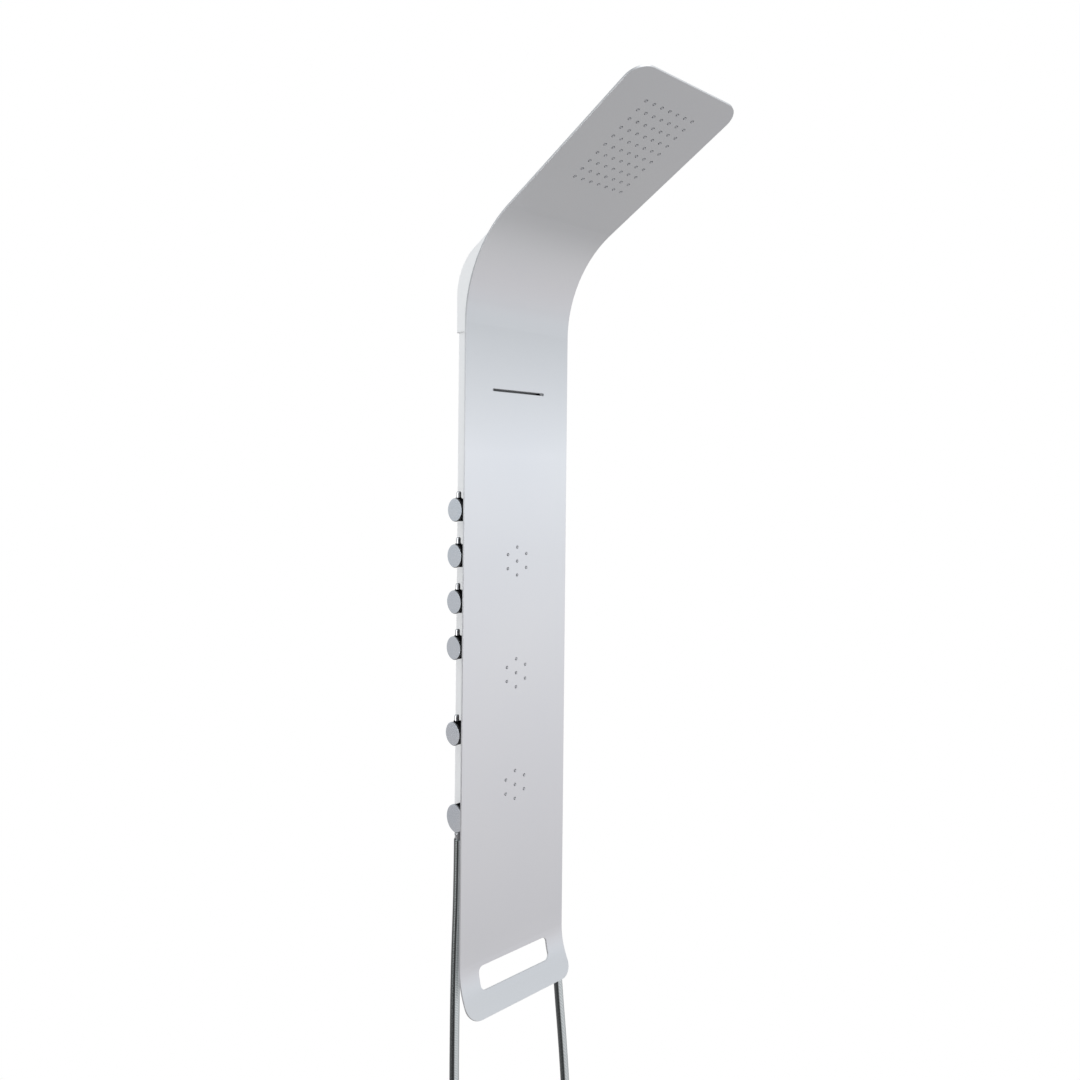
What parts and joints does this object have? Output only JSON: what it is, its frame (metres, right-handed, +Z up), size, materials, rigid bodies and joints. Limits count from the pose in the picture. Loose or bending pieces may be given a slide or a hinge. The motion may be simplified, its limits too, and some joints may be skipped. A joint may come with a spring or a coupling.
{
  "type": "shower panel column",
  "caption": "Slim wall shower panel column with a bent-over rain head, waterfall slot, body jets, side valve knobs with pin levers, a finger slot in the foot and a hand shower on a hose.",
  "frame": {"origin": "centre of the four wall screw holes, on the wall plane", "axes": "+X to the right seen from the front, +Y into the wall, +Z up along the column"},
  "size_m": [0.2467, 0.3784, 1.5959],
  "materials": {
    "satin_steel": "fine satin stainless steel",
    "satin_metal": "smooth silver finish",
    "zinc_steel": "zinc-plated steel",
    "nozzle_rubber": "soft grey silicone",
    "white_plastic": "moulded white plastic",
    "chrome": "polished chrome",
    "chromed_plastic": "chrome-plated plastic",
    "black_plastic": "black",
    "hose_metal": "metal-look hose with fine ribs",
    "brass": "plain brass"
  },
  "bodies": {
    "root": {"bottom_cap": "satin_metal", "column_housing": "satin_metal", "cover_screws": "zinc_steel", "cover_standoffs": "zinc_steel", "feed_pipe": "brass", "front_panel": "satin_steel", "hand_shower_pipe": "white_plastic", "hand_stop_valve": "brass", "handset_holder": "chromed_plastic", "head_cover": "satin_metal", "inlet_nuts": "brass", "inlet_tubes": "brass", "jet_header": "white_plastic", "jet_inserts": "nozzle_rubber", "jet_stop_valve": "brass", "lower_jet_body": "white_plastic", "lower_wall_bracket": "zinc_steel", "middle_jet_body": "white_plastic", "neck_lock_nuts": "brass", "outlet_body": "black_plastic", "outlet_disc": "chrome", "outlet_lock_nut": "brass", "outlet_stem": "chrome", "rain_chamber": "white_plastic", "rain_nozzle_mat": "nozzle_rubber", "rain_pipe": "white_plastic", "rain_stop_valve": "brass", "shower_hose": "hose_metal", "stud_nuts": "zinc_steel", "thermostatic_mixer": "brass", "upper_jet_body": "white_plastic", "upper_wall_bracket": "zinc_steel", "valve_manifold": "brass", "waterfall_outlet": "chrome", "waterfall_pipe": "white_plastic", "waterfall_stop_valve": "brass"},
    "rain_control": {"rain_knob": "black_plastic", "rain_knob_cap": "chrome", "rain_lever": "chrome", "rain_spindle": "brass"},
    "waterfall_control": {"waterfall_knob": "black_plastic", "waterfall_knob_cap": "chrome", "waterfall_lever": "chrome", "waterfall_spindle": "brass"},
    "jet_control": {"jet_knob": "black_plastic", "jet_knob_cap": "chrome", "jet_lever": "chrome", "jet_spindle": "brass"},
    "hand_control": {"hand_knob": "black_plastic", "hand_knob_cap": "chrome", "hand_lever": "chrome", "hand_spindle": "brass"},
    "temperature_control": {"temperature_knob": "black_plastic", "temperature_knob_cap": "chrome", "temperature_lever": "chrome", "temperature_spindle": "brass"},
    "handset": {"handset_body": "chromed_plastic", "handset_spray_plate": "nozzle_rubber", "handset_hose_nut": "chrome"}
  },
  "joints": [
    {"name": "rain_turn", "type": "hinge", "parent": "root", "child": "rain_control", "pos_m": [-0.089, -0.032, 0.1909], "axis": [-1, 0, 0], "range_deg": [0, 90]},
    {"name": "waterfall_turn", "type": "hinge", "parent": "root", "child": "waterfall_control", "pos_m": [-0.089, -0.032, 0.1246], "axis": [-1, 0, 0], "range_deg": [0, 90]},
    {"name": "jet_turn", "type": "hinge", "parent": "root", "child": "jet_control", "pos_m": [-0.089, -0.032, 0.0583], "axis": [-1, 0, 0], "range_deg": [0, 90]},
    {"name": "hand_turn", "type": "hinge", "parent": "root", "child": "hand_control", "pos_m": [-0.089, -0.032, -0.008], "axis": [-1, 0, 0], "range_deg": [0, 90]},
    {"name": "temperature_turn", "type": "hinge", "parent": "root", "child": "temperature_control", "pos_m": [-0.089, -0.032, -0.1316], "axis": [-1, 0, 0], "range_deg": [-55, 145]},
    {"name": "handset_lift", "type": "slide", "parent": "root", "child": "handset", "axis": [0, 0, 1], "range_m": [0, 0.06]}
  ]
}
